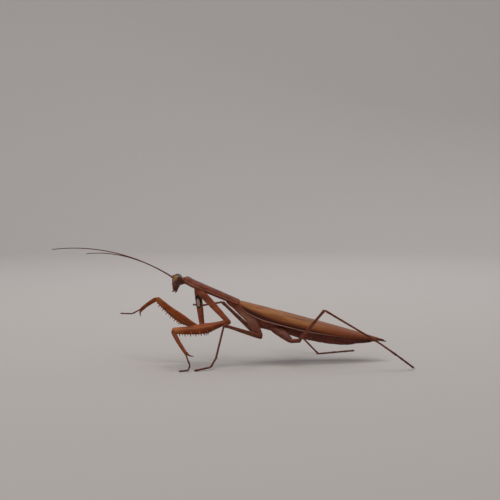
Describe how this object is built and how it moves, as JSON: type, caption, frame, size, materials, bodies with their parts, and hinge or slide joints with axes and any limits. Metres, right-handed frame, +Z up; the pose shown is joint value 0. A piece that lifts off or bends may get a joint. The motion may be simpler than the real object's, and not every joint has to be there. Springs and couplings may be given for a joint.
{
  "type": "praying mantis model",
  "caption": "Life-size still model of a slender brown male mantis walking low, forelegs part raised, with long feelers, flat folded wings and spined forelegs.",
  "frame": {"origin": "on the ground, under the middle of the whole outline", "axes": "+Z up; the head looks along -Y and the tail points along +Y; the animal's left side is +X"},
  "size_m": [0.0378, 0.0944, 0.0323],
  "materials": {
    "shell": "satin red-brown shell of the thorax",
    "face": "satin brown head with a yellowish brow",
    "eye": "smooth olive-brown compound eye",
    "forewing": "leathery ochre fore wing with a dark lower band and a pale front edge",
    "hindwing": "thin smoky folded hind wing",
    "abdomen": "dark red-brown abdomen in soft plates",
    "foreleg": "satin orange-brown spined foreleg",
    "leg": "satin brown walking leg",
    "feeler": "dull brown thread-like feeler"
  },
  "bodies": {
    "root": {"head": "face", "mouthparts": "face", "neck": "shell", "prothorax": "shell", "thorax": "shell", "abdomen": "abdomen", "eye_left": "eye", "antenna_left": "feeler", "tegmen_left": "forewing", "hind_wing_left": "hindwing", "cercus_left": "abdomen", "fore_left_coxa": "foreleg", "fore_left_femur": "foreleg", "fore_left_tibia": "foreleg", "fore_left_tarsus": "foreleg", "mid_left_coxa": "leg", "mid_left_femur": "leg", "mid_left_tibia": "leg", "mid_left_tarsus": "leg", "hind_left_coxa": "leg", "hind_left_femur": "leg", "hind_left_tibia": "leg", "hind_left_tarsus": "leg", "eye_right": "eye", "antenna_right": "feeler", "tegmen_right": "forewing", "hind_wing_right": "hindwing", "cercus_right": "abdomen", "fore_right_coxa": "foreleg", "fore_right_femur": "foreleg", "fore_right_tibia": "foreleg", "fore_right_tarsus": "foreleg", "mid_right_coxa": "leg", "mid_right_femur": "leg", "mid_right_tibia": "leg", "mid_right_tarsus": "leg", "hind_right_coxa": "leg", "hind_right_femur": "leg", "hind_right_tibia": "leg", "hind_right_tarsus": "leg"}
  },
  "joints": []
}
